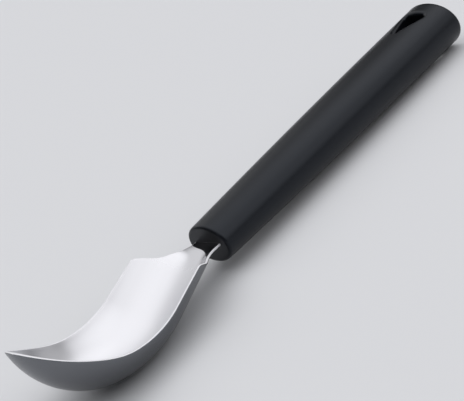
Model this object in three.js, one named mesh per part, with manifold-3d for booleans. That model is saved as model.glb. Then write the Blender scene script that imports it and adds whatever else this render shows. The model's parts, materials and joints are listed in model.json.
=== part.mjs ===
// Fruit scoop: a deep scoop pressed from one steel sheet, whose flat tang sits in a moulded oval handle.
// Millimetres, +Z up. The tool is drawn along X, with the handle's front face at X = 0, the blade towards -X
// and the tail towards +X. It is then laid down so that it rests on its belly and on the handle's tail.
import * as THREE from "three";
import { mergeVertices } from "three/addons/utils/BufferGeometryUtils.js";
import Module from "manifold-3d";

const wasm = await Module();
wasm.setup();

// Steel sheet and its tang inside the handle
const SHEET = 0.8; // thickness of the steel
const TANG_RISE = 0.4; // middle of the tang above the handle's axis
const TANG_WIDTH = 11.6;
const TANG_LENGTH = 64; // from the handle's front face to the tang's end
const TANG_CORNER = 3; // radius on the tang's end corners
const LOCK_HOLE = 5; // bore of the holes that the handle's plastic fills
const LOCK_SPACING = 22; // from the front face to the first hole, and on to the next
const LOCK_COUNT = 2;

// Course of the blade, measured along the inner face from the handle's front face
const NECK_STRAIGHT = 2.6;
const NECK_RADIUS = 18.2;
const NECK_DROP = 21.3; // degrees that the neck bends down
const TROUGH_STRAIGHT = 19.1;
const BOWL_RADIUS = 40.1;
const BOWL_SWEEP = 35.7; // degrees that the bowl curls up
const TOE_RADIUS = 28.2;
const TOE_SWEEP = 76; // degrees that the toe curls on, tighter, up to the tip

// Outline of the blade
const SHOULDER_AT = 12.9; // along the course from the handle's front face
const SHOULDER_WIDTH = 32.1;
const SHOULDER_EASE = 1.8; // length that the shoulder's corner is rounded over, each way
const FLARE_POWER = 2.34; // how late the neck widens towards the shoulder
const SIDE_BOW = 0.06; // how far the sides swell between shoulder and tip, as a share of the width
const TIP_FULLNESS = 9.9; // a higher power keeps the full width further towards the tip
const TIP_ROUNDING = 0.5; // 0.5 ends round, 1 ends in a sharp point

// Cross-section of the blade
const DISH_STEEPNESS = 66.4; // degrees that the trough's sides stand up where it is widest
const DISH_RUN = 8.1; // length over which the flat neck turns into the trough

// Handle
const HANDLE_LENGTH = 128;
const FRONT_HEIGHT = 13.6;
const FRONT_WIDTH = 18.4;
const TAIL_HEIGHT = 17.4;
const TAIL_WIDTH = 23.4;
const TAPER_BOW = 0.83; // 0 tapers straight, 1 runs level at the tail
const FRONT_EDGE = 1.0; // rounding of the front face's edge
const TAIL_EDGE = 1.4; // rounding of the tail's edge
const TANG_FIT = 0.3; // clearance round the tang and inside its lock holes

// Hanging hole: a rounded triangle with its point towards the blade
const HANG_LENGTH = 12.5; // from its point to its flat end
const HANG_WIDTH = 8.8; // across its flat end
const HANG_POINT = 0.8; // radius of its point
const HANG_CORNER = 1.6; // radius of its other two corners
const HANG_EDGE = 1.4; // rounding where it breaks through the handle's skin
const HANG_FROM_TAIL = 7.1; // from the handle's end to its flat end

// Fineness of the facets
const BLADE_COLUMNS = 22;
const HANDLE_SIDES = 72;
const HOLE_SIDES = 32;

const rad = THREE.MathUtils.degToRad;
const smooth = (t) => THREE.MathUtils.smoothstep(t, 0, 1);

// The blade's course as stretches that each run a length while turning down by an angle.
const COURSE = [
  { length: NECK_STRAIGHT, turn: 0 },
  { length: NECK_RADIUS * rad(NECK_DROP), turn: rad(NECK_DROP) },
  { length: TROUGH_STRAIGHT, turn: 0 },
  { length: BOWL_RADIUS * rad(BOWL_SWEEP), turn: -rad(BOWL_SWEEP) },
  { length: TOE_RADIUS * rad(TOE_SWEEP), turn: -rad(TOE_SWEEP) },
];
const BLADE_END = COURSE.reduce((sum, stretch) => sum + stretch.length, 0);
const INNER_FACE = TANG_RISE + SHEET / 2;
const WIDEST_HALF = (SHOULDER_WIDTH / 2) * (1 + SIDE_BOW);
const DISH_RADIUS = WIDEST_HALF / Math.sin(rad(DISH_STEEPNESS));

// Place and downward slope of the inner face's centre line at distance s from the handle's front face.
function courseAt(s) {
  let x = 0;
  let z = INNER_FACE;
  let slope = 0;
  let left = s;
  for (const { length, turn } of COURSE) {
    const run = s < 0 ? s : Math.min(left, length);
    const bend = (turn * run) / length;
    // The chord of an arc is its length times the sine ratio of half its bend.
    const chord = bend === 0 ? run : (run * Math.sin(bend / 2)) / (bend / 2);
    x -= chord * Math.cos(slope + bend / 2);
    z -= chord * Math.sin(slope + bend / 2);
    slope += bend;
    left -= run;
    if (left <= 0) break;
  }
  return { x, z, slope };
}

// Half the neck's width where it flares from the tang to the shoulder.
function flareHalf(s) {
  const grown = Math.pow(Math.max(s, 0) / SHOULDER_AT, FLARE_POWER);
  return (TANG_WIDTH + (SHOULDER_WIDTH - TANG_WIDTH) * grown) / 2;
}

// Half the scoop's width from its shoulder to its tip.
function sideHalf(s) {
  const t = Math.min((s - SHOULDER_AT) / (BLADE_END - SHOULDER_AT), 1);
  const bow = 1 + 4 * SIDE_BOW * t * (1 - t);
  return (SHOULDER_WIDTH / 2) * bow * Math.pow(1 - Math.pow(t, TIP_FULLNESS), TIP_ROUNDING);
}

// Half the blade's width at distance s, with rounded corners at the tang's end and at the shoulder.
function halfWidth(s) {
  const fromEnd = s + TANG_LENGTH;
  if (fromEnd < TANG_CORNER) {
    const inset = TANG_CORNER - Math.sqrt(TANG_CORNER ** 2 - (TANG_CORNER - fromEnd) ** 2);
    return TANG_WIDTH / 2 - inset;
  }
  const t = (s - SHOULDER_AT + SHOULDER_EASE) / (2 * SHOULDER_EASE);
  if (t <= 0) return flareHalf(s);
  if (t >= 1) return sideHalf(s);
  const before = flareHalf(SHOULDER_AT - SHOULDER_EASE);
  const after = sideHalf(SHOULDER_AT + SHOULDER_EASE);
  return (1 - t) ** 2 * before + 2 * t * (1 - t) * (SHOULDER_WIDTH / 2) + t ** 2 * after;
}

// A point of the sheet: across runs from -1 to 1, and depth from 0 inside the scoop to SHEET on its back.
function sheetPoint(s, across, depth) {
  const { x, z, slope } = courseAt(s);
  const half = halfWidth(s);
  const curve = smooth(s / DISH_RUN) / DISH_RADIUS;
  const angle = across * Math.asin(curve * half);
  const y = curve > 0 ? Math.sin(angle) / curve : across * half;
  const rise = curve > 0 ? (1 - Math.cos(angle)) / curve : 0;
  const lift = rise - depth * Math.cos(angle);
  return [x - lift * Math.sin(slope), y + depth * Math.sin(angle), z + lift * Math.cos(slope)];
}

// Evenly spaced numbers from a to b, leaving out b.
const spread = (a, b, count) => Array.from({ length: count }, (_, i) => a + ((b - a) * i) / count);

// A manifold solid from a three.js geometry.
function solidFrom(geometry) {
  const bare = new THREE.BufferGeometry();
  bare.setAttribute("position", geometry.getAttribute("position"));
  bare.setIndex(geometry.getIndex());
  const merged = mergeVertices(bare, 1e-5);
  return new wasm.Manifold(
    new wasm.Mesh({
      numProp: 3,
      vertProperties: merged.getAttribute("position").array,
      triVerts: new Uint32Array(merged.getIndex().array),
    }),
  );
}

// A three.js geometry from a manifold solid.
function geometryFrom(solid) {
  const { vertProperties, triVerts } = solid.getMesh();
  const geometry = new THREE.BufferGeometry();
  geometry.setAttribute("position", new THREE.BufferAttribute(vertProperties, 3));
  geometry.setIndex(new THREE.BufferAttribute(triVerts, 1));
  geometry.computeVertexNormals();
  return geometry;
}

// A closed skin over rings of equal point count, fanned shut on its first and last ring's own centre.
function skinOver(rings) {
  const size = rings[0].length;
  const positions = rings.flat(2);
  const faces = [];
  for (let r = 0; r + 1 < rings.length; r++)
    for (let i = 0; i < size; i++) {
      const a = r * size + i;
      const b = r * size + ((i + 1) % size);
      faces.push(a, b, b + size, a, b + size, a + size);
    }
  const close = (ring, start, flip) => {
    const middle = positions.length / 3;
    for (const axis of [0, 1, 2]) positions.push(ring.reduce((sum, p) => sum + p[axis], 0) / size);
    for (let i = 0; i < size; i++) {
      const pair = [start + i, start + ((i + 1) % size)];
      faces.push(middle, ...(flip ? pair.reverse() : pair));
    }
  };
  close(rings[0], 0, true);
  close(rings.at(-1), (rings.length - 1) * size, false);
  const geometry = new THREE.BufferGeometry();
  geometry.setAttribute("position", new THREE.Float32BufferAttribute(positions, 3));
  geometry.setIndex(faces);
  return geometry;
}

// The tang's outline in plan, grown by a margin, from the given X to its rounded end, with its lock holes.
function tangPlan(fromX, margin) {
  const half = TANG_WIDTH / 2 + margin;
  const end = TANG_LENGTH + margin;
  const corner = TANG_CORNER + margin;
  const plan = new THREE.Shape();
  plan.moveTo(fromX, -half);
  plan.lineTo(end - corner, -half);
  plan.absarc(end - corner, corner - half, corner, -Math.PI / 2, 0);
  plan.lineTo(end, half - corner);
  plan.absarc(end - corner, half - corner, corner, 0, Math.PI / 2);
  plan.lineTo(fromX, half);
  plan.closePath();
  for (let i = 1; i <= LOCK_COUNT; i++) {
    const plug = LOCK_HOLE / 2 - margin;
    plan.holes.push(new THREE.Path().absarc(i * LOCK_SPACING, 0, plug, 0, 2 * Math.PI, true));
  }
  return plan;
}

// A plan drawn in XY, extruded between two heights.
function extruded(plan, low, high) {
  const geometry = new THREE.ExtrudeGeometry(plan, {
    depth: high - low,
    bevelEnabled: false,
    curveSegments: HOLE_SIDES,
  });
  return solidFrom(geometry.translate(0, 0, low));
}

// The blade: one sheet lofted along its course, with the lock holes punched through its tang.
function bladeSolid() {
  const tipZone = SHOULDER_WIDTH / 2;
  const stations = [
    ...spread(0, 1, 5).map((share) => TANG_CORNER * share ** 2 - TANG_LENGTH),
    ...spread(-TANG_LENGTH + TANG_CORNER, 0, 2),
    ...spread(0, SHOULDER_AT - SHOULDER_EASE, 13),
    ...spread(SHOULDER_AT - SHOULDER_EASE, SHOULDER_AT + SHOULDER_EASE, 7),
    ...spread(SHOULDER_AT + SHOULDER_EASE, BLADE_END - tipZone, 34),
    ...spread(1, 0, 16).map((share) => BLADE_END - tipZone * share ** 2),
  ];
  const columns = Array.from({ length: BLADE_COLUMNS + 1 }, (_, i) => (2 * i) / BLADE_COLUMNS - 1);
  const rings = stations.map((s) => [
    ...columns.map((across) => sheetPoint(s, across, 0)),
    ...columns.toReversed().map((across) => sheetPoint(s, across, SHEET)),
  ]);
  const sheet = solidFrom(skinOver(rings));
  const punches = [];
  for (let i = 1; i <= LOCK_COUNT; i++) {
    const punch = new THREE.Shape().absarc(i * LOCK_SPACING, 0, LOCK_HOLE / 2, 0, 2 * Math.PI);
    punches.push(extruded(punch, TANG_RISE - SHEET, TANG_RISE + SHEET));
  }
  return punches.reduce((left, punch) => left.subtract(punch), sheet);
}

// Half width and half height of the oval handle at distance x from its front face.
function handleHalves(x) {
  const t = x / HANDLE_LENGTH;
  const swell = t * (1 + TAPER_BOW - TAPER_BOW * t);
  return {
    wide: (FRONT_WIDTH + (TAIL_WIDTH - FRONT_WIDTH) * swell) / 2,
    high: (FRONT_HEIGHT + (TAIL_HEIGHT - FRONT_HEIGHT) * swell) / 2,
  };
}

// The oval handle: rings along X with rounded end edges, its tang slot and its hanging hole.
function handleSolid() {
  const ring = (x, inset) => {
    const { wide, high } = handleHalves(x);
    return Array.from({ length: HANDLE_SIDES }, (_, i) => {
      const turn = (2 * Math.PI * i) / HANDLE_SIDES;
      return [x, (wide - inset) * Math.cos(turn), (high - inset) * Math.sin(turn)];
    });
  };
  const quarter = [0, 22.5, 45, 67.5, 90].map(rad);
  const edge = (end, radius, inwards) =>
    quarter.map((q) => ring(end + inwards * radius * (1 - Math.sin(q)), radius * (1 - Math.cos(q))));
  const rings = [
    ...edge(0, FRONT_EDGE, 1).reverse(),
    ...spread(FRONT_EDGE, HANDLE_LENGTH - TAIL_EDGE, 16).slice(1).map((x) => ring(x, 0)),
    ...edge(HANDLE_LENGTH, TAIL_EDGE, -1),
  ];
  const body = solidFrom(skinOver(rings));
  const slot = extruded(tangPlan(-SHEET, TANG_FIT), TANG_RISE - SHEET / 2 - TANG_FIT, INNER_FACE + TANG_FIT);
  return body.subtract(slot).subtract(hangSolid());
}

// The hanging hole's outline in plan, grown by a margin: arcs round its point and its two corners.
function hangOutline(margin) {
  const end = HANDLE_LENGTH - HANG_FROM_TAIL;
  const tip = end - HANG_LENGTH + HANG_POINT;
  const corner = end - HANG_CORNER;
  const offset = HANG_WIDTH / 2 - HANG_CORNER;
  const apart = Math.hypot(corner - tip, offset);
  // A side's outward direction is square to the line between the two arcs, tilted by their difference.
  const side = Math.PI / 2 + Math.atan2(offset, corner - tip) + Math.asin((HANG_CORNER - HANG_POINT) / apart);
  const arc = (x, y, radius, from, to) =>
    Array.from({ length: HOLE_SIDES / 4 + 1 }, (_, i) => {
      const turn = from + ((to - from) * i * 4) / HOLE_SIDES;
      return [x + (radius + margin) * Math.cos(turn), y + (radius + margin) * Math.sin(turn)];
    });
  return [
    ...arc(corner, -offset, HANG_CORNER, -side, 0),
    ...arc(corner, offset, HANG_CORNER, 0, side),
    ...arc(tip, 0, HANG_POINT, side, 2 * Math.PI - side),
  ];
}

// The hanging hole as a solid to cut away: it widens to both skins along a rounding that follows the oval.
function hangSolid() {
  const ring = (sign, margin, drop) =>
    hangOutline(margin).map(([x, y]) => {
      const { wide, high } = handleHalves(x);
      return [x, y, sign * (high * Math.sqrt(1 - (y / wide) ** 2) - drop)];
    });
  const turns = [15, 30, 45, 60, 75, 90].map(rad);
  const flank = (sign) => [
    hangOutline(HANG_EDGE).map(([x, y]) => [x, y, sign * TAIL_HEIGHT]),
    ring(sign, HANG_EDGE, -HANG_EDGE / 4),
    ...turns.map((q) => ring(sign, HANG_EDGE * (1 - Math.sin(q)), HANG_EDGE * (1 - Math.cos(q)))),
  ];
  return solidFrom(skinOver([...flank(-1), ...flank(1).reverse()]));
}

const steel = new THREE.MeshStandardMaterial({ color: 0xc3c5ca, roughness: 0.32, metalness: 1 });
const plastic = new THREE.MeshStandardMaterial({ color: 0x1c1e22, roughness: 0.5, metalness: 0 });

const blade = new THREE.Mesh(geometryFrom(bladeSolid()), steel);
blade.name = "blade";
const handle = new THREE.Mesh(geometryFrom(handleSolid()), plastic);
handle.name = "handle";

// The tool is tipped about Y until the belly of the blade and the handle's tail touch the same level.
const tool = new THREE.Group();
tool.add(blade, handle);
const lowest = (mesh) => {
  tool.updateMatrixWorld(true);
  return new THREE.Box3().setFromObject(mesh, true).min.z;
};
for (let step = 0; step < 6; step++) {
  const bellyToTail = HANDLE_LENGTH + BOWL_RADIUS;
  tool.rotation.y += Math.atan2(lowest(handle) - lowest(blade), bellyToTail);
}
tool.updateMatrixWorld(true);
const box = new THREE.Box3().setFromObject(tool, true);
tool.position.set(-(box.min.x + box.max.x) / 2, -(box.min.y + box.max.y) / 2, -box.min.z);

const fruitScoop = new THREE.Group();
fruitScoop.name = "fruit_scoop";
fruitScoop.add(tool);

export default fruitScoop;
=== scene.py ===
"""Dresses the fruit scoop: a brushed steel scoop in a satin black handle, lying on a pale floor."""

import json
import logging
import math
from dataclasses import dataclass
from enum import Enum
from typing import Any

import bpy
import numpy as np
from mathutils import Matrix, Vector


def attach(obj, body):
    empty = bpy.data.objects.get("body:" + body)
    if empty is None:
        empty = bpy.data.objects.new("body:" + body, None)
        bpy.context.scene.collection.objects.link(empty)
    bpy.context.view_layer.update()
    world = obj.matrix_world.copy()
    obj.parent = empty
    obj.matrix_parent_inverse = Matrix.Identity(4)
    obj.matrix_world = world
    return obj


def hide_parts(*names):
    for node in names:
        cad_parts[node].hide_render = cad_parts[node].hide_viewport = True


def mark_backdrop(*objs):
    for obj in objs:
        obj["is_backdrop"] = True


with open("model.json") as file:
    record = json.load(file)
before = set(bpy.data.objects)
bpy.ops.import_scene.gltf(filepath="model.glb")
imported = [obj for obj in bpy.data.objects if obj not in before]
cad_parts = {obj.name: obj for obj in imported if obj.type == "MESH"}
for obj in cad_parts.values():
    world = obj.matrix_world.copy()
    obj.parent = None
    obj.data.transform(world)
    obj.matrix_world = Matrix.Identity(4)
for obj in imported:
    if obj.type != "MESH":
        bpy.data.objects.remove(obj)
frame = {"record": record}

LOG = logging.getLogger("fruit_scoop")
MM = 0.001
IMAGE_WIDTH = 464
SENSOR_WIDTH = 36.0
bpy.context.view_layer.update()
NOISE_RANGE = (0.2, 0.8)  # nearly all values of the noise texture fall in it
FLAT = 1e-9  # curvature that stands for none, so that nothing is divided by zero


class Face(Enum):
    """The faces of the pressed sheet, as material slots of its mesh."""

    INNER = 0
    OUTER = 1
    EDGE = 2


def linear(colour: str) -> tuple[float, float, float, float]:
    """Turns an sRGB hex colour into linear RGBA.

    Args:
        colour: Six hex digits, with or without a hash sign.

    Returns:
        Red, green, blue and an alpha of 1, all linear.
    """
    digits = colour.lstrip("#")
    channels = [int(digits[i : i + 2], 16) / 255 for i in (0, 2, 4)]
    red, green, blue = (c / 12.92 if c <= 0.04045 else ((c + 0.055) / 1.055) ** 2.4 for c in channels)
    return red, green, blue, 1.0


def add_node(
    tree: bpy.types.NodeTree, kind: str, inputs: dict[Any, Any] | None = None, **settings: Any
) -> bpy.types.Node:
    """Adds a node with its settings, values and links.

    Args:
        tree: The node tree that gets the node.
        kind: Blender's identifier of the node type.
        inputs: Input names or numbers, each with a value or with the output socket to link to it.
        **settings: Properties of the node itself.

    Returns:
        The new node.
    """
    node = tree.nodes.new(kind)
    for name, value in settings.items():
        setattr(node, name, value)
    for name, value in (inputs or {}).items():
        if isinstance(value, bpy.types.NodeSocket):
            tree.links.new(value, node.inputs[name])
        else:
            node.inputs[name].default_value = value
    return node


def new_material(name: str) -> tuple[bpy.types.Material, bpy.types.NodeTree]:
    """Makes an empty node material.

    Args:
        name: The finish's name.

    Returns:
        The material and its cleared node tree.
    """
    material = bpy.data.materials.new(name)
    material.use_nodes = True
    material.node_tree.nodes.clear()
    return material, material.node_tree


def roughness_from(
    tree: bpy.types.NodeTree, noise: bpy.types.NodeSocket, middle: float, spread: float
) -> bpy.types.NodeSocket:
    """Varies a roughness about its middle with a noise.

    Args:
        tree: The material's node tree.
        noise: The noise's output.
        middle: The roughness where the noise is at its middle.
        spread: How far the roughness goes up and down.

    Returns:
        The roughness's output.
    """
    low, high = NOISE_RANGE
    varied = add_node(
        tree,
        "ShaderNodeMapRange",
        {
            "Value": noise,
            "From Min": low,
            "From Max": high,
            "To Min": middle - spread,
            "To Max": middle + spread,
        },
    )
    return varied.outputs["Result"]


@dataclass(frozen=True)
class BrushedStainless:
    """Stainless steel sheet, finished along its length as its own grain map tells.

    Fine scratches run along the blade, so a highlight spreads across it into a soft band. The brushing
    wheel can't reach the neck beside the handle, so there the steel keeps only a share of its roughness
    and mirrors the handle's front face. Without stretch and with a full share the finish is matt all over.
    """

    name: str
    colour: str
    roughness: float
    roughness_spread: float
    stretch: float = 0.6
    scratch_pitch: float = 0.3  # mm between scratches, coarser than the real 0.05 so that they show
    scratch_length: float = 26.0  # mm along the blade
    scratch_depth: float = 0.0006  # mm
    smooth_until: float = 4.0  # mm from the handle
    brushed_from: float = 13.0  # mm from the handle
    smooth_share: float = 0.25  # of the brushed roughness

    def material(self) -> bpy.types.Material:
        """Builds the node material.

        Returns:
            The finished material.
        """
        material, tree = new_material(self.name)
        grain = add_node(tree, "ShaderNodeUVMap", uv_map="grain")
        across = 1 / (self.scratch_pitch * MM)
        along = 1 / (self.scratch_length * MM)
        scaled = add_node(
            tree, "ShaderNodeMapping", {"Vector": grain.outputs["UV"], "Scale": (across, along, 1.0)}
        )
        scratches = add_node(
            tree,
            "ShaderNodeTexNoise",
            {"Vector": scaled.outputs["Vector"], "Scale": 1.0, "Detail": 1.0, "Roughness": 0.5},
            noise_dimensions="2D",
        )
        rough = roughness_from(tree, scratches.outputs["Fac"], self.roughness, self.roughness_spread)
        distance = add_node(tree, "ShaderNodeSeparateXYZ", {"Vector": grain.outputs["UV"]})
        brushed = add_node(
            tree,
            "ShaderNodeMapRange",
            {
                "Value": distance.outputs["Y"],
                "From Min": self.smooth_until * MM,
                "From Max": self.brushed_from * MM,
                "To Min": self.smooth_share,
            },
            interpolation_type="SMOOTHSTEP",
        )
        worn = add_node(
            tree,
            "ShaderNodeMath",
            {0: rough, 1: brushed.outputs["Result"]},
            operation="MULTIPLY",
        )
        bump = add_node(
            tree,
            "ShaderNodeBump",
            {"Height": scratches.outputs["Fac"], "Distance": self.scratch_depth * MM, "Strength": 1.0},
        )
        tangent = add_node(tree, "ShaderNodeTangent", direction_type="UV_MAP", uv_map="grain")
        shader = add_node(
            tree,
            "ShaderNodeBsdfPrincipled",
            {
                "Base Color": linear(self.colour),
                "Metallic": 1.0,
                "Anisotropic": self.stretch,
                "Roughness": worn.outputs["Value"],
                "Normal": bump.outputs["Normal"],
                "Tangent": tangent.outputs["Tangent"],
            },
        )
        add_node(tree, "ShaderNodeOutputMaterial", {"Surface": shader.outputs["BSDF"]})
        return material


@dataclass(frozen=True)
class SatinPolypropylene:
    """Moulded black polypropylene with a satin skin: a fine even grain that blurs every highlight."""

    name: str
    colour: str
    roughness: float
    specular: float
    sheen_colour: str
    roughness_spread: float = 0.06
    index: float = 1.49  # of refraction, as polypropylene has
    grain_pitch: float = 0.35  # mm, coarser than the mould's real 0.1 so that it shows
    grain_depth: float = 0.004  # mm

    def material(self) -> bpy.types.Material:
        """Builds the node material.

        Returns:
            The finished material.
        """
        material, tree = new_material(self.name)
        place = add_node(tree, "ShaderNodeTexCoord")
        grain = add_node(
            tree,
            "ShaderNodeTexNoise",
            {
                "Vector": place.outputs["Object"],
                "Scale": 1 / (self.grain_pitch * MM),
                "Detail": 3.0,
                "Roughness": 0.55,
            },
        )
        rough = roughness_from(tree, grain.outputs["Fac"], self.roughness, self.roughness_spread)
        bump = add_node(
            tree,
            "ShaderNodeBump",
            {"Height": grain.outputs["Fac"], "Distance": self.grain_depth * MM, "Strength": 1.0},
        )
        shader = add_node(
            tree,
            "ShaderNodeBsdfPrincipled",
            {
                "Base Color": linear(self.colour),
                "IOR": self.index,
                "Specular IOR Level": self.specular,
                "Specular Tint": linear(self.sheen_colour),
                "Roughness": rough,
                "Normal": bump.outputs["Normal"],
            },
        )
        add_node(tree, "ShaderNodeOutputMaterial", {"Surface": shader.outputs["BSDF"]})
        return material


@dataclass(frozen=True)
class StudioPaper:
    """Matt white studio paper under the object."""

    name: str
    colour: str

    def material(self) -> bpy.types.Material:
        """Builds the node material.

        Returns:
            The finished material.
        """
        material, tree = new_material(self.name)
        shader = add_node(
            tree,
            "ShaderNodeBsdfPrincipled",
            {"Base Color": linear(self.colour), "Roughness": 1.0, "Specular IOR Level": 0.0},
        )
        add_node(tree, "ShaderNodeOutputMaterial", {"Surface": shader.outputs["BSDF"]})
        return material


@dataclass(frozen=True)
class Lie:
    """How the tool's own axes lie in the part's frame.

    The tool is drawn in millimetres, with X along the handle from its front face, Y across and Z out of the
    scoop.
    """

    tail: np.ndarray
    along: np.ndarray
    handle_length: float

    @classmethod
    def from_record(cls, record: dict[str, Any], handle_length: float) -> "Lie":
        """Reads the handle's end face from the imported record.

        Args:
            record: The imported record.
            handle_length: Length of the handle in millimetres.

        Returns:
            The tool's lie.
        """
        mount = next(m for m in record["mounts"] if m["name"] == "handle_end_face")
        along = np.array(mount["axis"], float)
        return cls(np.array(mount["pos_m"], float), along / np.linalg.norm(along), handle_length)

    @property
    def axes(self) -> np.ndarray:
        """The tool's X, Y and Z axes in the part's frame, one to a row."""
        across = np.array((0.0, 1.0, 0.0))
        return np.stack((self.along, across, np.cross(self.along, across)))

    def place(self, points: np.ndarray) -> np.ndarray:
        """Carries tool points into the part's frame.

        Args:
            points: Tool points in millimetres, with the axes last.

        Returns:
            The same points in the part's frame, in metres.
        """
        from_tail = points - np.array((self.handle_length, 0.0, 0.0))
        return self.tail + MM * (from_tail @ self.axes)


def tube_faces(rings: int, size: int) -> np.ndarray:
    """Quads between neighbouring rings of a tube, as vertex numbers of shape (rings - 1, size, 4).

    Args:
        rings: Number of rings.
        size: Points in each ring.

    Returns:
        The quads, ordered by ring and place.
    """
    here = np.arange(rings * size).reshape(rings, size)
    beside = np.roll(here, -1, axis=1)
    return np.stack((here[:-1], beside[:-1], beside[1:], here[1:]), axis=-1)


def mesh_piece(
    name: str,
    points: np.ndarray,
    faces: list[list[int]],
    materials: list[bpy.types.Material],
    slots: np.ndarray | None = None,
    grain: np.ndarray | None = None,
) -> bpy.types.Object:
    """Puts computed points and faces into a smooth mesh object at the origin.

    Args:
        name: The object's name.
        points: Vertices in metres, of shape (n, 3).
        faces: Vertex numbers of each face.
        materials: The mesh's materials, in slot order.
        slots: Material slot of each face.
        grain: A point of the grain map for each vertex, of shape (n, 2).

    Returns:
        The new object.
    """
    mesh = bpy.data.meshes.new(name)
    mesh.from_pydata(points.tolist(), [], faces)
    for material in materials:
        mesh.materials.append(material)
    if slots is not None:
        mesh.polygons.foreach_set("material_index", slots.astype(np.int32))
    if grain is not None:
        corners = np.empty(len(mesh.loops), np.int32)
        mesh.loops.foreach_get("vertex_index", corners)
        layer = mesh.uv_layers.new(name="grain")
        layer.data.foreach_set("uv", grain[corners].astype(np.float32).ravel())
    mesh.polygons.foreach_set("use_smooth", np.ones(len(mesh.polygons), bool))
    mesh.update()
    piece = bpy.data.objects.new(name, mesh)
    bpy.context.scene.collection.objects.link(piece)
    return piece


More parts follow.
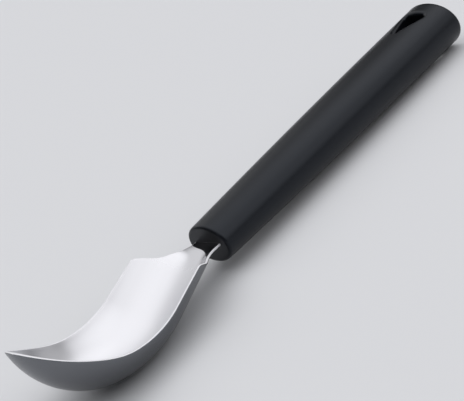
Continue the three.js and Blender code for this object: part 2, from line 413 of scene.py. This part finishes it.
@dataclass
class Blade:
    """The pressed steel sheet: tang, cranked neck, squared shoulders and a deep upcurled scoop.

    Sizes are in mm, turns in degrees.
    """

    sheet: float = 0.8
    tang_rise: float = 0.4
    tang_width: float = 11.6
    tang_length: float = 64.0
    tang_corner: float = 3.0
    neck_straight: float = 2.6
    neck_radius: float = 18.2
    neck_drop: float = 21.3
    trough_straight: float = 19.1
    bowl_radius: float = 40.1
    bowl_sweep: float = 35.7
    toe_radius: float = 28.2
    toe_sweep: float = 76.0
    shoulder_at: float = 12.9
    shoulder_width: float = 32.1
    shoulder_ease: float = 1.8
    flare_power: float = 2.34
    side_bow: float = 0.06
    tip_fullness: float = 9.9
    tip_rounding: float = 0.5
    dish_steepness: float = 66.4
    dish_run: float = 8.1
    rim_rounding: float = 0.34
    rim_points: int = 5
    columns: int = 64
    tang_end_stations: int = 8
    tang_stations: int = 12
    neck_stations: int = 40
    corner_stations: int = 24
    side_stations: int = 130
    tip_stations: int = 60

    @property
    def stretches(self) -> list[tuple[float, float]]:
        """The course as lengths and downward turns in radians, from the handle's front face to the tip."""
        drop = math.radians(self.neck_drop)
        bowl = math.radians(self.bowl_sweep)
        toe = math.radians(self.toe_sweep)
        return [
            (self.neck_straight, 0.0),
            (self.neck_radius * drop, drop),
            (self.trough_straight, 0.0),
            (self.bowl_radius * bowl, -bowl),
            (self.toe_radius * toe, -toe),
        ]

    @property
    def end(self) -> float:
        """Distance from the handle's front face to the tip, along the course."""
        return sum(length for length, _ in self.stretches)

    @property
    def dish_radius(self) -> float:
        """Radius of the trough, which stands up at its given steepness where it is widest."""
        widest = self.shoulder_width / 2 * (1 + self.side_bow)
        return widest / math.sin(math.radians(self.dish_steepness))

    def course(self, s: np.ndarray) -> tuple[np.ndarray, np.ndarray, np.ndarray]:
        """The inner face's centre line: straight runs and arcs, each added as its chord.

        Args:
            s: Distances from the handle's front face, negative inside the handle.

        Returns:
            X, Z and the downward slope in radians.
        """
        x = np.zeros_like(s)
        z = np.full_like(s, self.tang_rise + self.sheet / 2)
        slope = np.zeros_like(s)
        start = 0.0
        for number, (length, turn) in enumerate(self.stretches):
            run = np.clip(s - start, -np.inf if number == 0 else 0.0, length)
            bend = turn * run / length
            chord = run * np.sinc(bend / (2 * math.pi))
            x -= chord * np.cos(slope + bend / 2)
            z -= chord * np.sin(slope + bend / 2)
            slope += bend
            start += length
        return x, z, slope

    def half_width(self, s: np.ndarray) -> np.ndarray:
        """Half the outline's chord: rounded tang end, power-law flare, eased shoulder, bowed sides and tip.

        Args:
            s: Distances from the handle's front face.

        Returns:
            Half widths in millimetres.
        """
        shoulder = self.shoulder_width / 2

        def flare(at: np.ndarray) -> np.ndarray:
            """The neck widens with a power of the distance from the handle."""
            grown = (np.clip(at, 0, None) / self.shoulder_at) ** self.flare_power
            return self.tang_width / 2 + (shoulder - self.tang_width / 2) * grown

        def side(at: np.ndarray) -> np.ndarray:
            """The sides bow outwards and close in a superellipse at the tip."""
            t = np.clip((at - self.shoulder_at) / (self.end - self.shoulder_at), 0, 1)
            bowed = shoulder * (1 + 4 * self.side_bow * t * (1 - t))
            return bowed * (1 - t**self.tip_fullness) ** self.tip_rounding

        ease = self.shoulder_ease
        t = np.clip((s - self.shoulder_at + ease) / (2 * ease), 0, 1)
        before = flare(np.minimum(s, self.shoulder_at - ease))
        after = side(np.maximum(s, self.shoulder_at + ease))
        half = (1 - t) ** 2 * before + 2 * t * (1 - t) * shoulder + t**2 * after
        into_corner = np.clip(self.tang_corner - (s + self.tang_length), 0, self.tang_corner)
        return half - (self.tang_corner - np.sqrt(self.tang_corner**2 - into_corner**2))

    def rings(self) -> tuple[np.ndarray, np.ndarray]:
        """Closed rings round the sheet at stations along its course.

        A ring runs over the inner face, round one rim, back over the outer face and round the other rim.
        A point at arc length a from the centre line turns by a over the dish radius, and the outer face
        lies a sheet below it, square to the surface. The rim's rounding shrinks smoothly where the sheet
        gets narrow.

        Returns:
            Points of shape (stations, ring, 3) in tool millimetres, and grain map points of shape (..., 2).
        """
        tip_zone = self.shoulder_width / 2
        corner_start = self.shoulder_at - self.shoulder_ease
        corner_end = self.shoulder_at + self.shoulder_ease
        tang_end = self.tang_corner * np.linspace(0, 1, self.tang_end_stations, endpoint=False) ** 2
        tang_start = self.tang_corner - self.tang_length
        s = np.concatenate(
            (
                tang_end - self.tang_length,
                np.linspace(tang_start, 0, self.tang_stations, endpoint=False),
                np.linspace(0, corner_start, self.neck_stations, endpoint=False),
                np.linspace(corner_start, corner_end, self.corner_stations, endpoint=False),
                np.linspace(corner_end, self.end - tip_zone, self.side_stations, endpoint=False),
                self.end - tip_zone * np.linspace(1, 0, self.tip_stations, endpoint=False) ** 3,
            )
        )[:, None]
        t = np.clip(s / self.dish_run, 0, 1)
        curve = np.maximum(t * t * (3 - 2 * t) / self.dish_radius, FLAT)
        half_arc = np.arcsin(np.clip(curve * self.half_width(s), 0, 1)) / curve
        rim = self.rim_rounding * half_arc / (self.rim_rounding + half_arc)

        share = np.linspace(-1, 1, self.columns)[None, :]
        turn = np.linspace(0, math.pi / 2, self.rim_points)[None, :]
        face = share * (half_arc - rim)
        upper_out = half_arc - rim * (1 - np.sin(turn))
        upper_down = rim * (1 - np.cos(turn))
        lower_out = half_arc - rim * (1 - np.cos(turn))
        lower_down = self.sheet - rim * (1 - np.sin(turn))
        flat = np.zeros_like(face)
        arc = np.concatenate(
            (
                face[:, :-1],
                upper_out,
                lower_out,
                face[:, -2:0:-1],
                -lower_out[:, ::-1],
                -upper_out[:, :0:-1],
            ),
            axis=1,
        )
        depth = np.concatenate(
            (
                flat[:, :-1],
                upper_down,
                lower_down,
                flat[:, -2:0:-1] + self.sheet,
                lower_down[:, ::-1],
                upper_down[:, :0:-1],
            ),
            axis=1,
        )
        angle = arc * curve
        x, z, slope = self.course(s)
        lift = (1 - np.cos(angle)) / curve - depth * np.cos(angle)
        points = np.stack(
            (
                x - lift * np.sin(slope),
                np.sin(angle) / curve + depth * np.sin(angle),
                z + lift * np.cos(slope),
            ),
            axis=-1,
        )
        steps = np.hypot(np.diff(arc, axis=1), np.diff(depth, axis=1))
        around = arc[:, :1] + np.concatenate((np.zeros_like(s), np.cumsum(steps, axis=1)), axis=1)
        grain = np.stack((around, np.broadcast_to(s, arc.shape)), axis=-1)
        return points, grain

    def build(self, lie: Lie, finishes: dict[Face, BrushedStainless]) -> bpy.types.Object:
        """Builds the sheet and dresses its faces.

        Args:
            lie: Where the tool lies.
            finishes: The finish of each face.

        Returns:
            The blade's object.
        """
        points, grain = self.rings()
        stations, size = points.shape[:2]
        quads = tube_faces(stations, size)
        edge = self.rim_points + 1
        outside = size - (self.columns - 1) - 2 * edge
        slots = np.repeat(
            (Face.INNER.value, Face.EDGE.value, Face.OUTER.value, Face.EDGE.value),
            (self.columns - 1, edge, outside, edge),
        )
        slots = np.broadcast_to(slots, quads.shape[:2]).ravel()
        first = list(range(size - 1, -1, -1))
        last = list(range((stations - 1) * size, stations * size))
        return mesh_piece(
            "scoop_blade",
            lie.place(points).reshape(-1, 3),
            quads.reshape(-1, 4).tolist() + [first, last],
            [finishes[face].material() for face in Face],
            np.append(slots, (Face.EDGE.value, Face.EDGE.value)),
            grain.reshape(-1, 2) * MM,
        )


@dataclass
class Handle:
    """The moulded handle: an oval that swells towards its tail, with a hanging hole. Sizes in mm."""

    length: float = 128.0
    front_height: float = 13.6
    front_width: float = 18.4
    tail_height: float = 17.4
    tail_width: float = 23.4
    taper_bow: float = 0.83
    front_edge: float = 1.0
    tail_edge: float = 1.4
    hang_length: float = 12.5
    hang_width: float = 8.8
    hang_point: float = 0.8
    hang_corner: float = 1.6
    hang_edge: float = 1.4
    hang_from_tail: float = 7.1
    slot_fit: float = 0.04
    slot_squareness: float = 0.12  # power of the sine and cosine, where 0 would give square corners
    face_margin: float = 0.04  # from an end's rounding to the ring that keeps its face flat
    mouth_shares: tuple[float, ...] = (0.02, 0.3, 0.7)  # places of the front face's rings, slot to brim
    tail_insets: tuple[float, ...] = (4.0, 7.0)  # of the tail face's inner rings
    sides: int = 144
    edge_rings: int = 9
    body_rings: int = 70
    window_start: float = 103.0
    window_end: float = 125.6
    window_rings: int = 25
    window_half_turn: int = 21  # sides that the window spans on each side of the crest
    patch_rings: int = 12
    patch_crowding: float = 0.8  # below 1 the patch's rings crowd towards the hole
    hang_edge_rings: int = 7
    hang_arc_points: int = 24

    def half_sizes(self, x: np.ndarray) -> tuple[np.ndarray, np.ndarray]:
        """Half width and half height of the oval, which swell with a square of the way along.

        Args:
            x: Distances from the front face.

        Returns:
            Half widths and half heights.
        """
        t = x / self.length
        swell = t * (1 + self.taper_bow - self.taper_bow * t)
        wide = self.front_width + (self.tail_width - self.front_width) * swell
        high = self.front_height + (self.tail_height - self.front_height) * swell
        return wide / 2, high / 2

    def ovals(self, x: np.ndarray, inset: np.ndarray) -> np.ndarray:
        """Oval rings at the given distances, drawn in by an inset.

        Args:
            x: Distances from the front face, of shape (rings,).
            inset: How far each ring is drawn in.

        Returns:
            Points of shape (rings, sides, 3).
        """
        turn = 2 * math.pi * np.arange(self.sides)[None, :] / self.sides
        wide, high = self.half_sizes(x)
        return np.stack(
            (
                np.broadcast_to(x[:, None], (len(x), self.sides)),
                (wide - inset)[:, None] * np.cos(turn),
                (high - inset)[:, None] * np.sin(turn),
            ),
            axis=-1,
        )

    def slot_ring(self, x: float, blade: Blade) -> np.ndarray:
        """The tang's slot as one ring: the oval's points drawn to a box with nearly square corners.

        Args:
            x: Distance from the front face.
            blade: The blade whose tang fills the slot.

        Returns:
            Points of shape (1, sides, 3).
        """
        turn = 2 * math.pi * np.arange(self.sides) / self.sides
        wide = blade.tang_width / 2 + self.slot_fit
        high = blade.sheet / 2 + self.slot_fit
        y = wide * np.sign(np.cos(turn)) * np.abs(np.cos(turn)) ** self.slot_squareness
        z = high * np.sign(np.sin(turn)) * np.abs(np.sin(turn)) ** self.slot_squareness
        return np.stack((np.full_like(turn, x), y, z + blade.tang_rise), axis=-1)[None]

    def tube(self, blade: Blade) -> tuple[np.ndarray, int, int]:
        """Rings from the slot's bottom, over the front face and along the body, to the tail face.

        Args:
            blade: The blade whose tang fills the slot.

        Returns:
            Points of shape (rings, sides, 3), and the window's first and last ring.
        """
        quarter = np.linspace(0, math.pi / 2, self.edge_rings)
        inward, back = 1 - np.cos(quarter), 1 - np.sin(quarter)
        mouth = self.slot_ring(0.0, blade)
        brim = self.ovals(np.zeros(1), np.full(1, self.front_edge + self.face_margin))
        across_face = [mouth * (1 - t) + brim * t for t in self.mouth_shares]
        front = self.ovals(self.front_edge * back, self.front_edge * inward)[::-1]
        before = np.linspace(self.front_edge, self.window_start, self.body_rings, endpoint=False)[1:]
        window = np.linspace(self.window_start, self.window_end, self.window_rings)
        body = self.ovals(np.concatenate((before, window)), np.zeros(len(before) + len(window)))
        tail = self.ovals(self.length - self.tail_edge * back, self.tail_edge * inward)
        insets = np.array((self.tail_edge + self.face_margin, *self.tail_insets))
        face = self.ovals(np.full(len(insets), self.length), insets)
        bottom = self.slot_ring(blade.tang_length + self.slot_fit, blade)
        head = np.concatenate((bottom, mouth, *across_face, brim))
        first = len(head) + len(front) + len(before)
        rings = np.concatenate((head, front, body, tail, face))
        return rings, first, first + len(window) - 1

    @property
    def hole_centre(self) -> float:
        """X of the point that the hole's outline is seen from."""
        return self.length - self.hang_from_tail - self.hang_length / 3

    def hole_rim(self, direction: np.ndarray, grown: float) -> np.ndarray:
        """The hole in plan: a rounded triangle, made of arcs round its point and its two corners.

        Args:
            direction: Angles seen from the hole's centre, with the tail at 0.
            grown: How far outside the hole's wall.

        Returns:
            Points of shape (..., 2) in X and Y.
        """
        corner_x = self.length - self.hang_from_tail - self.hang_corner
        point_x = self.length - self.hang_from_tail - self.hang_length + self.hang_point
        offset = self.hang_width / 2 - self.hang_corner
        apart = math.hypot(corner_x - point_x, offset)
        side = math.pi / 2 + math.atan2(offset, corner_x - point_x)
        side += math.asin((self.hang_corner - self.hang_point) / apart)
        share = np.linspace(0, 1, self.hang_arc_points)
        corner, point = self.hang_corner + grown, self.hang_point + grown
        arcs = (
            (corner_x, -offset, corner, side * (share - 1)),
            (corner_x, offset, corner, side * share),
            (point_x, 0.0, point, side + 2 * (math.pi - side) * share),
        )
        x = np.concatenate([cx + radius * np.cos(turn) for cx, _, radius, turn in arcs])
        y = np.concatenate([cy + radius * np.sin(turn) for _, cy, radius, turn in arcs])
        seen = np.arctan2(y, x - self.hole_centre)
        return np.stack([np.interp(direction, seen, at, period=2 * math.pi) for at in (x, y)], axis=-1)

    def crest(self, plan: np.ndarray, sign: float) -> np.ndarray:
        """Lifts plan points onto the oval's upper or lower skin.

        Args:
            plan: Points in X and Y.
            sign: 1 for the upper skin and -1 for the lower.

        Returns:
            Points of shape (..., 3).
        """
        wide, high = self.half_sizes(plan[..., 0])
        z = sign * high * np.sqrt(1 - (plan[..., 1] / wide) ** 2)
        return np.concatenate((plan, z[..., None]), axis=-1)

    def window_loop(self, first: int, last: int, top: bool) -> np.ndarray:
        """Numbers of the tube's vertices round a window, counter-clockwise seen from outside.

        Args:
            first: The window's first ring.
            last: The window's last ring.
            top: Whether the window is on the upper skin.

        Returns:
            Vertex numbers.
        """
        middle = self.sides // 4 if top else 3 * self.sides // 4
        low, high = middle - self.window_half_turn, middle + self.window_half_turn
        columns = np.arange(low, high)
        rows = np.arange(first, last)
        loop = np.concatenate(
            (
                last * self.sides + columns,
                (rows + 1)[::-1] * self.sides + high,
                first * self.sides + columns[::-1] + 1,
                rows * self.sides + low,
            )
        )
        return loop[::-1]

    def build(self, lie: Lie, blade: Blade, finish: SatinPolypropylene) -> bpy.types.Object:
        """Builds the handle as one closed skin and dresses it.

        Each window of the tube is filled with a patch that runs from the window's edge to the hole's rim,
        turns over the rim's rounding and goes down the hole's wall to meet the other window's patch.

        Args:
            lie: Where the tool lies.
            blade: The blade whose tang fills the slot.
            finish: The handle's finish.

        Returns:
            The handle's object.
        """
        rings, first, last = self.tube(blade)
        quads = tube_faces(len(rings), self.sides)
        place = np.arange(self.sides)
        quarter = self.sides // 4
        reach = self.window_half_turn
        near_top = (place >= quarter - reach) & (place < quarter + reach)
        near_low = (place >= 3 * quarter - reach) & (place < 3 * quarter + reach)
        open_faces = np.zeros(quads.shape[:2], bool)
        open_faces[first:last] = (near_top | near_low)[None, :]
        faces = quads[~open_faces].tolist()
        points = [rings.reshape(-1, 3)]
        count = rings.shape[0] * self.sides
        faces.append(list(range(self.sides - 1, -1, -1)))
        faces.append(list(range(count - self.sides, count)))

        walls = []
        for top in (True, False):
            loop = self.window_loop(first, last, top)
            edge = points[0][loop][:, :2]
            direction = np.arctan2(edge[:, 1], edge[:, 0] - self.hole_centre)
            sign = 1.0 if top else -1.0
            rim = self.hole_rim(direction, self.hang_edge)
            share = np.linspace(0, 1, self.patch_rings)[1:-1] ** self.patch_crowding
            plans = edge[None] * (1 - share)[:, None, None] + rim[None] * share[:, None, None]
            patch = [self.crest(plan, sign) for plan in plans] + [self.crest(rim, sign)]
            for turn in np.linspace(0, math.pi / 2, self.hang_edge_rings)[1:]:
                ring = self.crest(self.hole_rim(direction, self.hang_edge * (1 - math.sin(turn))), sign)
                ring[:, 2] -= sign * self.hang_edge * (1 - math.cos(turn))
                patch.append(ring)
            numbers = np.arange(len(patch) * len(loop)).reshape(len(patch), len(loop)) + count
            count += numbers.size
            points.append(np.concatenate(patch))
            rows = np.concatenate((loop[None], numbers))
            beside = np.roll(rows, -1, axis=1)
            filled = np.stack((rows[:-1], beside[:-1], beside[1:], rows[1:]), axis=-1)
            faces += filled.reshape(-1, 4).tolist()
            walls.append((direction, rows[-1]))
        upper = walls[0][1]
        lower = walls[1][1][::-1]
        lower = np.roll(lower, -int(np.argmin(np.abs(walls[1][0][::-1] - walls[0][0][0]))))
        beside_upper, beside_lower = np.roll(upper, -1), np.roll(lower, -1)
        faces += np.stack((upper, beside_upper, beside_lower, lower), axis=-1).tolist()
        return mesh_piece("scoop_handle", lie.place(np.concatenate(points)), faces, [finish.material()])


@dataclass(frozen=True)
class Glow:
    """A soft bright patch of the light tent, seen from the object."""

    towards: tuple[float, float, float]  # in the part's frame
    edge: tuple[float, float]  # cosines from its middle where it starts and where it is full
    level: float  # 1 lights a white floor to white, if it filled the whole tent


@dataclass
class Studio:
    """A pale floor, a light tent with soft patches all round, and the camera of the photograph."""

    azimuth: float = -34.37  # degrees in the tool's own axes, from the view along +Y
    elevation: float = 23.91
    roll: float = -28.54
    distance: float = 440.0  # mm, and so is the aimed point
    aim: tuple[float, float, float] = (12.49, -4.35, 7.81)
    pixels_per_mm: float = 3.256  # of the photograph, at the aimed point
    floor_colour: str = "DCDDDF"
    floor_radius: float = 4.0  # m
    floor_gap: float = 0.0001  # m below the part's lowest level
    floor_rings: tuple[float, ...] = (0.25, 0.6, 0.9)  # shares of the radius
    sweep: float = 0.35  # m, radius of the wall's quarter circle
    sweep_rings: int = 13
    floor_sides: int = 96
    tent_colour: str = "FBFBFD"
    glows: tuple[Glow, ...] = (
        # Overhead panel, which lights the floor
        Glow((0.10, -0.05, 1.00), (0.45, 0.93), 1.52),
        # Panel above the tail, which draws the sheen along the handle
        Glow((0.60, -0.08, 0.80), (0.84, 0.985), 1.64),
        # Low light beyond the tail, which the curled toe mirrors
        Glow((0.95, -0.25, 0.15), (0.80, 0.98), 0.72),
        # Bank at the near side, which the far wall of the scoop mirrors
        Glow((0.28, -0.70, 0.66), (0.74, 1.00), 1.60),
        # Dimmer bank at the far side, which the near wall mirrors
        Glow((0.13, 0.81, 0.60), (0.78, 0.97), 0.98),
    )

    def camera(self, lie: Lie) -> bpy.types.Object:
        """Builds the camera from its angles, with a lens that gives the photograph's scale.

        Args:
            lie: Where the tool lies.

        Returns:
            The camera's object.
        """
        data = bpy.data.cameras.new("photo_camera")
        data.sensor_width = SENSOR_WIDTH
        data.lens = self.pixels_per_mm * self.distance / IMAGE_WIDTH * SENSOR_WIDTH
        data.clip_start = 0.01
        turn = Matrix.Rotation(math.radians(self.azimuth), 4, "Z")
        tilt = Matrix.Rotation(math.radians(90 - self.elevation), 4, "X")
        spin = Matrix.Rotation(math.radians(self.roll), 4, "Z")
        camera = bpy.data.objects.new("photo_camera", data)
        away = Matrix.Translation((0, 0, self.distance * MM))
        tool = Matrix(lie.axes.T.tolist()).to_4x4()
        aimed = Matrix.Translation(lie.place(np.array(self.aim)).tolist())
        camera.matrix_world = aimed @ tool @ turn @ tilt @ spin @ away
        bpy.context.scene.collection.objects.link(camera)
        bpy.context.scene.camera = camera
        return camera

    def floor(self) -> bpy.types.Object:
        """Builds the round floor that the object rests on, which sweeps up into a low wall far from it.

        The wall follows a quarter circle and hides the dark foot of the tent from a low camera.

        Returns:
            The floor's object.
        """
        rise = np.linspace(0, math.pi / 2, self.sweep_rings)
        flat = self.floor_radius * np.array(self.floor_rings)
        radius = np.concatenate((flat, self.floor_radius + self.sweep * np.sin(rise)))[:, None]
        height = np.concatenate((np.zeros_like(flat), self.sweep * (1 - np.cos(rise))))[:, None]
        turn = 2 * math.pi * np.arange(self.floor_sides)[None, :] / self.floor_sides
        level = np.broadcast_to(height - self.floor_gap, (len(radius), self.floor_sides))
        points = np.stack((radius * np.cos(turn), radius * np.sin(turn), level), axis=-1)
        faces = tube_faces(len(radius), self.floor_sides)[..., ::-1].reshape(-1, 4).tolist()
        middle = list(range(self.floor_sides))
        paper = StudioPaper("white studio paper", self.floor_colour).material()
        floor = mesh_piece("studio_floor", points.reshape(-1, 3), [middle] + faces, [paper])
        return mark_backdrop(floor)

    def light(self) -> None:
        """Builds the light tent: a dark world that is as bright each way as its brightest glow there."""
        world = bpy.data.worlds.new("light_tent")
        world.use_nodes = True
        tree = world.node_tree
        tree.nodes.clear()
        place = add_node(tree, "ShaderNodeTexCoord")
        total = None
        for glow in self.glows:
            toward = add_node(
                tree,
                "ShaderNodeVectorMath",
                {0: place.outputs["Generated"], 1: tuple(Vector(glow.towards).normalized())},
                operation="DOT_PRODUCT",
            )
            patch = add_node(
                tree,
                "ShaderNodeMapRange",
                {
                    "Value": toward.outputs["Value"],
                    "From Min": glow.edge[0],
                    "From Max": glow.edge[1],
                    "To Max": glow.level,
                },
                interpolation_type="SMOOTHSTEP",
            ).outputs["Result"]
            if total is None:
                total = patch
            else:
                brighter = add_node(tree, "ShaderNodeMath", {0: total, 1: patch}, operation="MAXIMUM")
                total = brighter.outputs["Value"]
        back = add_node(
            tree, "ShaderNodeBackground", {"Color": linear(self.tent_colour), "Strength": total}
        )
        add_node(tree, "ShaderNodeOutputWorld", {"Surface": back.outputs["Background"]})
        bpy.context.scene.world = world

    def build(self, lie: Lie) -> None:
        """Builds the whole set and its view settings.

        Args:
            lie: Where the tool lies.
        """
        bpy.context.scene.view_settings.view_transform = "Standard"
        self.floor()
        self.light()
        self.camera(lie)


def main() -> None:
    """Builds the pieces and the set in order, and reports each piece."""
    logging.basicConfig(level=logging.INFO, format="%(name)s: %(message)s")
    blade = Blade()
    handle = Handle()
    lie = Lie.from_record(frame["record"], handle.length)
    steel = {
        # Brushed to a satin: the bowl spreads the tent's light into one even glow
        Face.INNER: BrushedStainless("satin brushed stainless steel", "CECED1", 0.30, 0.02),
        # The same steel, written darker as painted shade: its dark colour is a painted dark reflection, so
        # the belly mirrors the pale floor and still reads as dark
        Face.OUTER: BrushedStainless("brushed stainless steel, outer side", "74767A", 0.25, 0.025),
        # Cut and tumbled, so without grain and matt; its colour, lighter than the bowl's steel, is a
        # painted highlight that makes the rim a thin bright line from every side
        Face.EDGE: BrushedStainless(
            "tumbled stainless steel, blanked edge", "F2F2F4", 0.8, 0.02, stretch=0.0, smooth_share=1.0
        ),
    }
    # Moulded black right through, with a satin skin: a soft cool sheen along the top, near black below it
    plastic = SatinPolypropylene("satin black polypropylene", "07090D", 0.33, 0.33, "E9F1FF")
    dressed = (
        (blade.build(lie, steel), "blade", "steel"),
        (handle.build(lie, blade, plastic), "handle", "grip"),
    )
    for piece, node, slot in dressed:
        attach(piece, "root")
        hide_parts(node)
        LOG.info("%s stands for %s: %d faces", piece.name, node, len(piece.data.polygons))
    Studio().build(lie)


if __name__ == "__main__":
    main()
